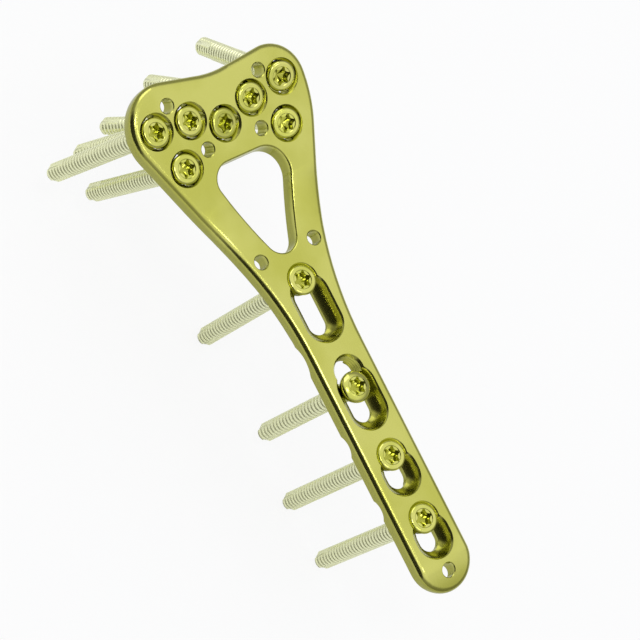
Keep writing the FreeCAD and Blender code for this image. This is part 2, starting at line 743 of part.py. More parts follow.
def locking_screw(name, where):
    """Locking screw: tapered head that sits in the plate's conical seat."""
    top = "(-Sizes.head_sink)"
    foot = f"({top} - Sizes.lock_head_height)"
    head = [
        ("0", f"({top} - Sizes.drive_mouth_depth)", None),
        ("Sizes.drive_mouth_radius", top, None),
        ("Sizes.lock_head_top_radius", top, "Sizes.lock_head_round"),
        ("Sizes.lock_head_low_radius", foot, None),
        ("Sizes.shank_radius", f"({foot} - Sizes.neck_cone_height)", None),
    ]
    return screw(name, head, top, where)


def cortex_screw(name):
    """Plain screw: its head is a ball below and a low cap above, seated on the slot's edge."""
    ball, half_slot = "Sizes.cortex_ball_radius", "(Sizes.slot_width / 2)"
    edge_below_face = f"(sqrt(Sizes.long_ramp_radius ^ 2 - {half_slot} ^ 2) - Sizes.ramp_rise)"
    centre = f"(sqrt({ball} ^ 2 - {half_slot} ^ 2) - {edge_below_face} + Sizes.seat_gap)"
    top = f"({centre} + Sizes.cortex_cap_height)"
    head = [
        ("0", f"({top} - Sizes.drive_mouth_depth)", None),
        ("Sizes.drive_mouth_radius", top, None),
        ("Sizes.cortex_cap_radius", top, "Sizes.cortex_cap_round"),
        (ball, centre, None),
        ("Sizes.shank_radius", centre, None),
    ]
    near, _ = slot_ends(HOLE_3, "0")
    return screw(name, head, top, at(along=near, height=THICKNESS), (ball, centre))


def solids_to_write():
    """Every sub-part of the plate and its screws."""
    parts = [plate()]
    for index in HEAD_HOLE_PARENTS:
        name = f"head_screw_{index}"
        lean = at(pitch=f"-Sizes.{name}_lean_right", roll=f"Sizes.{name}_lean_up")
        parts.append(locking_screw(name, f"{HEAD_FACE} * {at(*head_hole(index))} * {lean}"))
    for index, hole in enumerate((HOLE_1, HOLE_2, HOLE_4), start=1):
        parts.append(locking_screw(f"shaft_locking_screw_{index}",
                                   at(along=hole, height=THICKNESS)))
    parts.append(cortex_screw("shaft_cortex_screw"))
    return parts


def check(parts):
    """Stop on any failed object, on a cut that removed nothing and on a part that is no solid."""
    for item in doc.Objects:
        if {"Invalid", "Error"} & set(item.State):
            raise RuntimeError(f"{item.Name} failed: {item.State}")
        if item.TypeId == "PartDesign::Pocket":
            if item.Shape.Volume >= item.BaseFeature.Shape.Volume:
                raise RuntimeError(f"{item.Name} cuts nothing")
    for part in parts:
        if part.Shape.isNull() or not part.Shape.isValid() or len(part.Shape.Solids) != 1:
            raise RuntimeError(f"{part.Label} is not one valid solid")


parts = solids_to_write()
doc.recompute()
check(parts)
os.makedirs("parts", exist_ok=True)
for part in parts:
    part.Shape.exportStep(f"parts/{part.Label}.step")
    box = part.Shape.BoundBox
    print(part.Label, round(part.Shape.Volume, 2),
          [round(value, 2) for value in (box.XMin, box.YMin, box.ZMin, box.XMax, box.YMax, box.ZMax)])
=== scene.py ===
"""A wrist plate in anodised titanium with its eleven screws, on a studio floor.

Lengths are in metres in the row frame: the origin is on the wire hole of the shaft's tip, in
the plane of the shaft's underside, +Y runs along the shaft to the head and +Z up to its top.
"""
from collections import namedtuple
from contextlib import contextmanager
import math

import bpy
from mathutils import Matrix, Vector


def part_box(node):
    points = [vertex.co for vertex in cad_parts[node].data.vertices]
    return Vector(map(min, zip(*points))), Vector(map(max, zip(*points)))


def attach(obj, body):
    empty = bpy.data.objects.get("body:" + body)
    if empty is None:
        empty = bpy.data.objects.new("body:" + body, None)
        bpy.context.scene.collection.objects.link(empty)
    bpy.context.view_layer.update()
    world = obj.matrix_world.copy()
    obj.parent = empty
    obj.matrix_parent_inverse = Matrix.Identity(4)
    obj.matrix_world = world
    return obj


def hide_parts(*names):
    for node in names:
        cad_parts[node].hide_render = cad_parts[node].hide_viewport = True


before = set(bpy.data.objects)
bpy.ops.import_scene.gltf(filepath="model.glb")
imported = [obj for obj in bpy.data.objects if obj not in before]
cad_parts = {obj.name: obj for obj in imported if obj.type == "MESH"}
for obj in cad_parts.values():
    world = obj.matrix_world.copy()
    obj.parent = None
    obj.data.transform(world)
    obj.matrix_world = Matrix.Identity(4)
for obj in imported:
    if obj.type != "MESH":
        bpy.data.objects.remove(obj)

bl_info = {
    "name": "Wrist plate with screws",
    "version": (1, 0, 0),
    "blender": (4, 5, 0),
    "location": "3D View > Sidebar > Wrist plate",
    "description": "Threads, drive recesses, finishes and studio of a wrist plate",
    "category": "Object",
}

MM = 0.001
MERGE = 0.002 * MM              # points nearer than this are one point
CUT_PRECISION = MERGE / 10      # points nearer than this to a cutting plane lie on it
FULL_TURN = 2 * math.pi
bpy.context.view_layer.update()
BODY = "root"

# The plate as its solids have it
THICKNESS = 2.2 * MM
HEAD_TILT = math.radians(14.5)
BEND_LINE = 46.816 * MM
TIP_SLOPE = math.atan(0.96 / 3.65)      # fall of the tip's top face over its length
TIP_LIFT = math.atan(0.27 / 2.25)       # rise of the tip's underside

# Locking head: its taper as the solid has it, raised until its top is flush with the plate
HEAD_TOP_RADIUS = 1.8 * MM
HEAD_LOW_RADIUS = 1.5 * MM
HEAD_HEIGHT = 1.9 * MM
HEAD_SINK = 0.3 * MM
HEAD_RAISE = 0.3 * MM
HEAD_ROUND = 0.34 * MM
NECK_HEIGHT = 0.3 * MM
SEAT_GAP = 0.03 * MM
TAPER = (HEAD_TOP_RADIUS - HEAD_LOW_RADIUS) / HEAD_HEIGHT
RINGS_END = 1.6 * HEAD_ROUND    # from the head's top down to its rings

# Cortex head: the solid's ball, and the oval that the dressed head has
BALL_RADIUS = 1.8 * MM
BALL_CENTRE = -0.381 * MM
CAP_RADIUS = 1.95 * MM
CAP_UNDERSIDE = 1.69 * MM
DOME_HEIGHT = 0.67 * MM

# Shank and its tip
SHANK_RADIUS = 1.2 * MM
TIP_RADIUS = 0.75 * MM
TIP_HEIGHT = 0.8 * MM
# Thread: corners as a share of the pitch and a share of the depth below the crest
THREAD_PROFILE = ((0.0, 1.0), (0.17, 0.2), (0.34, 0.0), (0.64, 0.0), (0.81, 0.2), (1.0, 1.0))
TURNS_BELOW = 1.5               # turns of thread that are started below the tip

# Ring: corners as a share of its height and a share of its depth, and its height in pitches
RING_PROFILE = ((0.0, 0), (0.38, 1), (0.62, 1), (1.0, 0))
RING_HEIGHT = 0.98
# Grooves of a locking hole: cutter's cone inside the wall, lowest and highest groove
GROOVE_INSET = 0.03 * MM
GROOVE_LOW = -THICKNESS + 0.1 * MM
GROOVE_HIGH = -0.37 * MM

# Six-lobed recess
LOBES = 6
DRIVE_OUTER = 1.155 * MM
DRIVE_INNER = 0.825 * MM
DRIVE_FLANK = 0.498 * MM
DRIVE_DEPTH = 1.3 * MM
DRIVE_POINT = 0.2 * MM
MOUTH_RADIUS = 1.2 * MM
MOUTH_FOOT_RADIUS = 1.12 * MM
MOUTH_DEPTH = 0.07 * MM

# Flutes at the tip
FLUTES = 3
FLUTE_RADIUS = 0.55 * MM
FLUTE_OFFSET = 1.35 * MM
FLUTE_LENGTH = 4.0 * MM

# Clearances that keep the faces of two solids apart where a boolean joins or trims them
CUT_PAST = 0.5 * MM             # a cutter past the face that it opens
STUB_INSIDE = 0.12 * MM         # a head's stub inside the thread's core
SHANK_START = NECK_HEIGHT / 6   # a locking head's foot above the shank's top
SHANK_INSIDE = 0.1 * MM         # the cortex screw's shank inside its head
COLLAR = 0.05 * MM              # the cortex head's foot outside the thread
BLANK_SPARE = 0.05 * MM         # turned blank outside the thread
TIP_SPARE = 0.2 * MM            # thread below the tip, for the blank to trim

# Fineness of the meshes, in steps
TURN_STEPS = 64         # round a turned piece
HELIX_STEPS = 28        # round a thread
FLUTE_STEPS = 24        # round a flute's cutter
LOBE_STEPS = 24         # round a sixth of the recess
CAP_STEPS = 8           # along the cortex head's dome or underside
ROUND_STEPS = 5         # along a locking head's rounded edge

# Shading
SMOOTH_ANGLE = math.radians(34)             # sharper edges stay sharp
FLAT_COSINE = math.cos(math.radians(0.15))  # faces nearer to a flat's normal belong to it
DISSOLVE_ANGLE = math.radians(0.3)          # faces that meet at less become one

PLATE_FINISH = "Satin anodised plate"
SCREW_FINISH = "Polished anodised screw"
# Patterns of the finishes: features per metre, and the noise where a cloud begins and is full
PLATE_CLOUDS, PLATE_CLOUD_EDGES = 120.0, (0.35, 0.68)
MILLING_LINES, MILLING_STRETCH = 900.0, (6.0, 0.5, 6.0)
PLATE_GRAIN = 9000.0
SCREW_CLOUDS, SCREW_CLOUD_EDGES = 420.0, (0.35, 0.7)
SCREW_GRAIN = 7000.0
FLOOR_CLOUDS, FLOOR_CLOUD_EDGES = 6.0, (0.2, 0.8)
FINE_DETAIL = 3.0       # octaves of the plate's clouds and lines
# How much the patterns change tone, roughness and relief
LINE_SHARE = 0.2        # milling lines in the plate's tone, the clouds have the rest
LINE_RELIEF = 0.25
PLATE_DRIFT = 0.05      # roughness
SCREW_DRIFT = 0.08      # roughness
SCREW_RELIEF = 0.2
SHANK_DULLNESS = 0.12   # roughness added on the shanks
SHANK_PALENESS = 0.4    # metal look taken from the shanks
RELIEF_HEIGHT = 0.01 * MM
# Depths below the plate's top face at which a tone begins and is full: painted shade on the
# plate's walls and in the screws' recesses, and the paler shanks
PAINTED_SHADE_DEPTHS = (0.15 * MM, 0.95 * MM)
SHANK_DEPTHS = (THICKNESS, THICKNESS + 1.5 * MM)

# Room: height of a direction at which the white ceiling begins and is full
CEILING_EDGES = (0.42, 0.80)

# Dark screen that the metal mirrors: its direction from the plate, and the cosines of the
# angles from it at which the screen has ended and at which it is fully dark
SCREEN_WAY = (-0.938, 0.06, 0.342)
SCREEN_EDGE = (math.cos(math.radians(48)), math.cos(math.radians(32)))

# Floor: tone of its darker spots, roughness, and share of white that the camera sees
FLOOR_DARKER = 0.97
FLOOR_ROUGHNESS = 0.9
FLOOR_WHITE = 0.85

# Lamps: place and side in metres, power in watts
Lamp = namedtuple("Lamp", "name spot size power")
LAMPS = (
    Lamp("key_softbox", (-0.13, 0.05, 0.52), 0.09, 0.25),
    Lamp("front_softbox", (0.083, -0.115, 0.49), 0.08, 0.10),
    Lamp("back_softbox", (0.05, 0.48, 0.38), 0.32, 0.45),
)
LAMP_AIM = Vector((0, 32 * MM, 0))
NEAREST_SEEN = 0.01     # nearest distance that the camera shows

Screw = namedtuple("Screw", "node across along right up length")
# Head screws: place on the head's face from the line of the bend, lean to the right and up
# in degrees, and length below the plate's top face
HEAD_SCREWS = (
    Screw("head_screw_1", -10.70 * MM, 14.35 * MM, -5, -7, 24.0 * MM),
    Screw("head_screw_2", -5.94 * MM, 13.97 * MM, -6, -4, 24.0 * MM),
    Screw("head_screw_3", -1.60 * MM, 12.08 * MM, -5, 5, 24.0 * MM),
    Screw("head_screw_4", 2.95 * MM, 13.62 * MM, 3, 8, 24.0 * MM),
    Screw("head_screw_5", 7.94 * MM, 14.47 * MM, 10, 12, 22.0 * MM),
    Screw("head_screw_6", 6.42 * MM, 9.13 * MM, 9, 4, 20.0 * MM),
    Screw("head_screw_7", -8.53 * MM, 9.00 * MM, 0, -4, 24.0 * MM),
)
# Shaft screws stand square to the shaft, at their distance from the tip's wire hole
SHAFT_SCREWS = (
    Screw("shaft_locking_screw_1", 0, 6.75 * MM, 0, 0, 27.1 * MM),
    Screw("shaft_locking_screw_2", 0, 15.05 * MM, 0, 0, 27.7 * MM),
    Screw("shaft_locking_screw_3", 0, 38.24 * MM, 0, 0, 28.0 * MM),
)
# Round end of the second combination hole, which holds no screw
FREE_ROUND_HOLE = Screw("", 0, 26.15 * MM, 0, 0, 0)
CORTEX_SCREW = Screw("shaft_cortex_screw", 0, 24.15 * MM, 0, 0, 25.3 * MM)


def length_prop(name, description, default):
    """Property for a small length."""
    return bpy.props.FloatProperty(name=name, description=description, default=default,
                                   min=0.0, precision=5, unit="LENGTH")


def colour_prop(name, description, default):
    """Property for a colour."""
    return bpy.props.FloatVectorProperty(name=name, description=description, default=default,
                                         size=3, min=0.0, max=1.0, subtype="COLOR")


def share_prop(name, description, default):
    """Property for a share between 0 and 1."""
    return bpy.props.FloatProperty(name=name, description=description, default=default,
                                   min=0.0, max=1.0, subtype="FACTOR")


class PlateSettings(bpy.types.PropertyGroup):
    """What a user would change on the plate."""

    light_tone: colour_prop("Light tone", "Anodised colour where the film is thinnest",
                            (0.61, 0.61, 0.165))
    deep_tone: colour_prop("Deep tone", "Anodised colour where the film is thickest",
                           (0.51, 0.515, 0.10))
    # Painted shade: a darker colour on the walls and in the holes below the top face, standing
    # in for the shade that falls there
    shaded_wall_tone: colour_prop("Wall tone", "Anodised colour of the walls below the top face",
                           (0.38, 0.38, 0.072))
    roughness: share_prop("Roughness", "Middle roughness of the satin finish", 0.2)
    grain: share_prop("Grain", "Strength of the fine tumbled grain", 0.12)
    groove_pitch: length_prop("Groove pitch", "Step of the thread in the locking holes",
                              0.43 * MM)
    groove_depth: length_prop("Groove depth", "Depth of the thread in the locking holes",
                              0.22 * MM)


class ScrewSettings(bpy.types.PropertyGroup):
    """What a user would change on the screws."""

    light_tone: colour_prop("Light tone", "Anodised colour of the screw heads",
                            (0.68, 0.68, 0.19))
    deep_tone: colour_prop("Deep tone", "Anodised colour in the heads' darker spots",
                           (0.58, 0.60, 0.12))
    # Painted shade: a darker colour deep in the drive recess and down the heads below the
    # plate's top face
    painted_recess_shade: colour_prop("Recess tone", "Anodised colour deep in the drive recess",
                             (0.42, 0.43, 0.065))
    shank_tone: colour_prop("Shank tone", "Paler colour of the threaded shanks",
                            (0.91, 0.93, 0.58))
    roughness: share_prop("Roughness", "Middle roughness of the screws", 0.14)
    head_screw_pitch: length_prop("Head screw pitch", "Thread pitch of the plate head's screws",
                                  0.665 * MM)
    shaft_screw_pitch: length_prop("Shaft screw pitch",
                                   "Thread pitch of the shaft's locking screws", 0.755 * MM)
    cortex_pitch: length_prop("Cortex pitch", "Thread pitch of the cortex screw", 0.86 * MM)
    thread_depth: length_prop("Thread depth", "Depth of the shank's thread", 0.22 * MM)
    head_pitch: length_prop("Head pitch", "Step of the rings on a locking head", 0.32 * MM)
    head_groove: length_prop("Head groove", "Depth of the rings on a locking head",
                             0.1 * MM)


class StageSettings(bpy.types.PropertyGroup):
    """Camera, lamps and floor."""

    camera_place: bpy.props.FloatVectorProperty(
        name="Camera place", description="Where the camera stands",
        default=(-196.78 * MM, 24.156 * MM, 329.35 * MM), size=3, subtype="TRANSLATION")
    camera_turn: bpy.props.FloatVectorProperty(
        name="Camera turn", description="How the camera is turned",
        default=tuple(map(math.radians, (16.3208, -26.7244, -30.4753))), size=3,
        subtype="EULER")
    lens: bpy.props.FloatProperty(
        name="Lens", description="Focal length in millimetres on a 36 mm sensor",
        default=182.36, min=1.0)
    floor_size: length_prop("Floor size", "Side of the square floor", 0.28)
    floor_drop: length_prop("Floor drop", "Gap between the lowest screw tip and the floor",
                            0.05 * MM)
    floor_colour: colour_prop("Floor colour", "Pale colour of the floor", (0.86, 0.87, 0.90))
    sky_strength: bpy.props.FloatProperty(
        name="Sky strength", description="Strength of the even light from all sides",
        default=0.8, min=0.0)
    shaded_wall_tone: share_prop("Wall tone", "Brightness of the studio's walls in reflections",
                          0.36)
    screen_tone: share_prop("Screen tone", "Brightness of the dark screen beside the camera",
                            0.02)


def deselect():
    """Leave nothing selected."""
    bpy.ops.object.select_all(action="DESELECT")


def only(piece):
    """Make a piece the one that is selected and active."""
    deselect()
    piece.select_set(True)
    bpy.context.view_layer.objects.active = piece


@contextmanager
def editing(piece):
    """Edit mode on a piece, with all of its mesh selected."""
    only(piece)
    bpy.ops.object.mode_set(mode="EDIT")
    bpy.ops.mesh.select_mode(type="VERT")
    bpy.ops.mesh.select_all(action="SELECT")
    yield
    bpy.ops.object.mode_set(mode="OBJECT")


def apply_modifiers(piece):
    """Apply the modifiers of a piece in their order."""
    only(piece)
    for name in [step.name for step in piece.modifiers]:
        bpy.ops.object.modifier_apply(modifier=name)


def close_up(piece):
    """Merge points that meet and turn the faces outwards."""
    with editing(piece):
        bpy.ops.mesh.remove_doubles(threshold=MERGE)
        bpy.ops.mesh.normals_make_consistent(inside=False)


def copy_of(piece, name):
    """Copy of a piece with a mesh of its own."""
    only(piece)
    bpy.ops.object.duplicate()
    twin = bpy.context.object
    twin.name = twin.data.name = name
    return twin


def discard(piece):
    """Remove a piece that was only a tool."""
    only(piece)
    bpy.ops.object.delete()


def combine(piece, tool, operation):
    """Join, cut or trim a piece with a tool, which is then removed."""
    step = piece.modifiers.new("Combine", "BOOLEAN")
    step.operation = operation
    step.solver = "EXACT"
    step.object = tool
    apply_modifiers(piece)
    discard(tool)
    close_up(piece)


def join(pieces):
    """One object from several that don't touch."""
    deselect()
    for piece in pieces:
        piece.select_set(True)
    bpy.context.view_layer.objects.active = pieces[0]
    bpy.ops.object.join()
    return pieces[0]


def place(piece, matrix):
    """Move a piece by a matrix and put that into its mesh."""
    piece.matrix_world = matrix
    only(piece)
    bpy.ops.object.transform_apply(location=True, rotation=True, scale=True)


def draw_profile(name, corners):
    """Line through corners given as a radius and a height beside the axis."""
    deselect()
    bpy.ops.mesh.primitive_plane_add(size=MM)
    piece = bpy.context.object
    piece.name = piece.data.name = name
    bpy.ops.object.mode_set(mode="EDIT")
    bpy.ops.mesh.select_mode(type="VERT")
    bpy.ops.mesh.merge(type="CENTER")
    points = [Vector((radius, 0, height)) for radius, height in corners]
    bpy.ops.transform.translate(value=points[0])
    for before, after in zip(points, points[1:]):
        bpy.ops.mesh.extrude_vertices_move(TRANSFORM_OT_translate={"value": after - before})
    bpy.ops.object.mode_set(mode="OBJECT")
    return piece


def turned(name, corners):
    """Solid turned from a profile that starts and ends on the axis."""
    piece = draw_profile(name, corners)
    with editing(piece):
        bpy.ops.mesh.spin(steps=TURN_STEPS, angle=FULL_TURN, center=(0, 0, 0),
                          axis=(0, 0, 1), use_auto_merge=True)
    close_up(piece)
    return piece


def arc(centre, radius, first, last, steps):
    """Corners along an arc between two angles in degrees, both included."""
    angles = [math.radians(first + (last - first) * i / steps) for i in range(steps + 1)]
    return [(centre[0] + radius * math.cos(a), centre[1] + radius * math.sin(a))
            for a in angles]


def rings(low, high, pitch, wall, depth):
    """Corners up a tapered wall with blunt rings: wall gives its radius at a height."""
    count = int((high - low) / pitch)
    first = (low + high - count * pitch) / 2
    corners = [(wall(low), low)]
    for i in range(count):
        foot = first + i * pitch
        for share, out in RING_PROFILE:
            height = foot + share * pitch * RING_HEIGHT
            corners.append((wall(height) + out * depth, height))
    corners.append((wall(high), high))
    return corners


def head_frame():
    """The head's top face: origin on the bend line, tilted up with the head."""
    return (Matrix.Translation((0, BEND_LINE, THICKNESS))
            @ Matrix.Rotation(HEAD_TILT, 4, "X"))


def screw_place(screw):
    """Place of a screw or its hole: its own +Z runs out of the plate."""
    spot = Matrix.Translation((screw.across, screw.along, 0))
    if screw not in HEAD_SCREWS:
        return Matrix.Translation((0, 0, THICKNESS)) @ spot
    lean = (Matrix.Rotation(math.radians(-screw.right), 4, "Y")
            @ Matrix.Rotation(math.radians(screw.up), 4, "X"))
    return head_frame() @ spot @ lean


def screw_axis(screw):
    """Direction out of the plate along a screw."""
    return screw_place(screw).to_3x3() @ Vector((0, 0, 1))


def drive_radius(angle):
    """Radius of the recess at an angle from a lobe: a round lobe between two flanks."""
    half = math.pi / LOBES
    flank_reach, outer = DRIVE_INNER + DRIVE_FLANK, DRIVE_OUTER + DRIVE_FLANK
    reach = (outer ** 2 - flank_reach ** 2) / (2 * (outer - flank_reach * math.cos(half)))
    lobe = DRIVE_OUTER - reach
    across, along = flank_reach * math.cos(half) - reach, flank_reach * math.sin(half)
    share = lobe / math.hypot(across, along)
    touch = math.atan2(along * share, reach + across * share)
    angle = abs((angle + half) % (2 * half) - half)
    if angle < touch:
        return reach * math.cos(angle) + math.sqrt(lobe ** 2 - (reach * math.sin(angle)) ** 2)
    angle = half - angle
    return (flank_reach * math.cos(angle)
            - math.sqrt(DRIVE_FLANK ** 2 - (flank_reach * math.sin(angle)) ** 2))


def drive_cutter(top):
    """Cutter of the six-lobed recess, with a pointed floor."""
    deselect()
    bpy.ops.mesh.primitive_circle_add(vertices=LOBE_STEPS * LOBES, radius=1.0,
                                      fill_type="NGON")
    cutter = bpy.context.object
    for point in cutter.data.vertices:
        angle = math.atan2(point.co.y, point.co.x)
        point.co = point.co.normalized() * drive_radius(angle)
        point.co.z = top + CUT_PAST
    with editing(cutter):
        bpy.ops.mesh.extrude_region_move(
            TRANSFORM_OT_translate={"value": (0, 0, -CUT_PAST - DRIVE_DEPTH)})
        bpy.ops.mesh.extrude_region_move(
            TRANSFORM_OT_translate={"value": (0, 0, -DRIVE_POINT)})
        bpy.ops.mesh.merge(type="CENTER")
    close_up(cutter)
    return cutter


def cut_recess(head, top):
    """Chamfered six-lobed recess in a head's top."""
    slope = (MOUTH_RADIUS - MOUTH_FOOT_RADIUS) / MOUTH_DEPTH
    mouth = turned("Mouth", [
        (0, top - MOUTH_DEPTH),
        (MOUTH_FOOT_RADIUS, top - MOUTH_DEPTH),
        (MOUTH_RADIUS + slope * CUT_PAST, top + CUT_PAST),
        (0, top + CUT_PAST),
    ])
    combine(head, mouth, "DIFFERENCE")
    combine(head, drive_cutter(top), "DIFFERENCE")


def locking_head(sizes):
    """Tapered head with rings round it, its recess, and a stub that runs into the shank."""
    top, foot = HEAD_RAISE - HEAD_SINK, -HEAD_SINK - HEAD_HEIGHT
    edge = HEAD_TOP_RADIUS + TAPER * HEAD_RAISE
    stub = SHANK_RADIUS - sizes.thread_depth - STUB_INSIDE

    def groove_floor(height):
        return HEAD_LOW_RADIUS + TAPER * (height - foot) - sizes.head_groove

    low, high = foot + sizes.head_groove, top - RINGS_END
    corners = [(0, foot - NECK_HEIGHT - CUT_PAST), (stub, foot - NECK_HEIGHT - CUT_PAST),
               (stub, foot - NECK_HEIGHT), (HEAD_LOW_RADIUS - sizes.head_groove, foot)]
    corners += rings(low, high, sizes.head_pitch, groove_floor, sizes.head_groove)
    corners += arc((edge - HEAD_ROUND, top - HEAD_ROUND), HEAD_ROUND, 0, 90, ROUND_STEPS)
    corners.append((0, top))
    head = turned("LockingHead", corners)
    cut_recess(head, top)
    return head


def cortex_head(sizes):
    """Domed head: half an oval below and a low dome above, flat within the recess's mouth."""
    def cap(height, last_radius):
        """Corners of an oval from its widest point to where it is as narrow as the radius."""
        last = math.acos(last_radius / CAP_RADIUS)
        angles = [last * i / CAP_STEPS for i in range(CAP_STEPS + 1)]
        return [(CAP_RADIUS * math.cos(angle), BALL_CENTRE + height * math.sin(angle))
                for angle in angles]

    underside = cap(-CAP_UNDERSIDE, SHANK_RADIUS + COLLAR)[::-1]
    dome = cap(DOME_HEIGHT, MOUTH_RADIUS)[1:]
    foot, top = underside[0][1], dome[-1][1]
    stub = SHANK_RADIUS - sizes.thread_depth - STUB_INSIDE
    head = turned("CortexHead", [(0, foot - CUT_PAST), (stub, foot - CUT_PAST), (stub, foot)]
                  + underside + dome + [(0, top)])
    cut_recess(head, top)
    return head


def threaded_shank(sizes, pitch, top, tip):
    """Helical thread between two heights, pointed at the tip and cut by flutes."""
    low = tip - TURNS_BELOW * pitch
    turns = math.ceil((top - low) / pitch) + 1
    shank = draw_profile("Shank", [
        (SHANK_RADIUS - fall * sizes.thread_depth, low + rise * pitch)
        for rise, fall in THREAD_PROFILE])
    stack = shank.modifiers.new("Turns", "ARRAY")
    stack.count = turns
    stack.use_relative_offset = False
    stack.use_constant_offset = True
    stack.constant_offset_displace = (0, 0, pitch)
    stack.use_merge_vertices = True
    stack.merge_threshold = MERGE
    helix = shank.modifiers.new("Helix", "SCREW")
    helix.axis = "Z"
    helix.angle = FULL_TURN
    helix.screw_offset = pitch
    helix.steps = helix.render_steps = HELIX_STEPS
    helix.use_merge_vertices = False
    apply_modifiers(shank)
    close_up(shank)
    for height, keeps_below in ((top, True), (tip - TIP_SPARE, False)):
        with editing(shank):
            bpy.ops.mesh.bisect(plane_co=(0, 0, height), plane_no=(0, 0, 1), use_fill=True,
                                clear_outer=keeps_below, clear_inner=not keeps_below,
                                threshold=CUT_PRECISION)
    close_up(shank)
    combine(shank, tip_envelope(top, tip), "INTERSECT")
    for i in range(FLUTES):
        combine(shank, flute_cutter(tip, i * FULL_TURN / FLUTES), "DIFFERENCE")
    return shank


def tip_envelope(top, tip):
    """Turned blank that a screw's thread is trimmed to."""
    slope = TIP_HEIGHT / (SHANK_RADIUS - TIP_RADIUS)
    return turned("Blank", [
        (0, tip),
        (TIP_RADIUS, tip),
        (SHANK_RADIUS + BLANK_SPARE, tip + TIP_HEIGHT + slope * BLANK_SPARE),
        (SHANK_RADIUS + BLANK_SPARE, top + CUT_PAST),
        (0, top + CUT_PAST),
    ])


def flute_cutter(tip, angle):
    """Round cutter beside the axis at the tip, with a tapered run-out."""
    deselect()
    bpy.ops.mesh.primitive_cylinder_add(
        vertices=FLUTE_STEPS, radius=FLUTE_RADIUS, depth=FLUTE_LENGTH + CUT_PAST,
        location=(0, 0, tip + (FLUTE_LENGTH - CUT_PAST) / 2))
    cutter = bpy.context.object
    select_flat(cutter, [Vector((0, 0, 1))])
    bpy.ops.object.mode_set(mode="EDIT")
    bpy.ops.mesh.extrude_region_move(
        TRANSFORM_OT_translate={"value": (FLUTE_RADIUS, 0, FLUTE_RADIUS)})
    bpy.ops.object.mode_set(mode="OBJECT")
    offset = Matrix.Translation((FLUTE_OFFSET, 0, 0))
    place(cutter, Matrix.Rotation(angle, 4, "Z") @ offset @ cutter.matrix_world)
    return cutter


def select_flat(piece, normals):
    """Select the faces that look along one of the normals."""
    with editing(piece):
        bpy.ops.mesh.select_mode(type="FACE")
        bpy.ops.mesh.select_all(action="DESELECT")
    for face in piece.data.polygons:
        face.select = any(face.normal.dot(normal) > FLAT_COSINE for normal in normals)


def mark_creases(piece, normals):
    """Keep the edges crisp at which two flat faces meet at a small angle."""
    beside = {}
    for face in piece.data.polygons:
        flat = [i for i, normal in enumerate(normals)
                if face.normal.dot(normal) > FLAT_COSINE]
        for key in face.edge_keys:
            beside.setdefault(key, []).append(flat[0] if flat else None)
    for edge in piece.data.edges:
        pair = set(beside[edge.key])
        if len(pair) > 1 and None not in pair:
            edge.use_edge_sharp = True


def shade(piece, flat_normals):
    """Smooth shading in which the flat faces set the shading of the edges that they share."""
    only(piece)
    bpy.ops.object.shade_smooth_by_angle(angle=SMOOTH_ANGLE)
    mark_creases(piece, flat_normals)
    select_flat(piece, flat_normals)
    bpy.ops.object.mode_set(mode="EDIT")
    bpy.ops.mesh.mod_weighted_strength(set=True, face_strength="STRONG")
    bpy.ops.object.mode_set(mode="OBJECT")
    weighted = piece.modifiers.new("Weighted", "WEIGHTED_NORMAL")
    weighted.mode = "CORNER_ANGLE"
    weighted.keep_sharp = True
    weighted.use_face_influence = True
    apply_modifiers(piece)


def finish_piece(piece, node, material, flat_normals):
    """Shade a piece, dress it and let it stand for its CAD node."""
    shade(piece, flat_normals)
    piece.data.materials.clear()
    piece.data.materials.append(material)
    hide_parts(node)
    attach(piece, BODY)


def groove_cutter(sizes, screw):
    """Ringed cone that cuts the thread into one locking hole's wall."""
    def wall(height):
        return HEAD_TOP_RADIUS + SEAT_GAP + TAPER * (height + HEAD_SINK) - GROOVE_INSET

    corners = [(0, GROOVE_LOW)]
    corners += rings(GROOVE_LOW, GROOVE_HIGH, sizes.groove_pitch, wall,
                     sizes.groove_depth + GROOVE_INSET)
    corners.append((0, GROOVE_HIGH))
    cutter = turned("Grooves", corners)
    place(cutter, screw_place(screw))
    return cutter


class Signal:
    """Socket of a shader as a number: each sum, difference or product adds its Math node."""

    def __init__(self, finish, socket):
        self.finish = finish
        self.socket = socket

    def _math(self, operation, first, second):
        return self.finish.node("ShaderNodeMath", {"operation": operation},
                                {0: first, 1: second})

    def __add__(self, other):
        return self._math("ADD", self, other)

    def __radd__(self, other):
        return self._math("ADD", other, self)

    def __sub__(self, other):
        return self._math("SUBTRACT", self, other)

    def __rsub__(self, other):
        return self._math("SUBTRACT", other, self)

    def __mul__(self, other):
        return self._math("MULTIPLY", self, other)

    def __rmul__(self, other):
        return self._math("MULTIPLY", other, self)


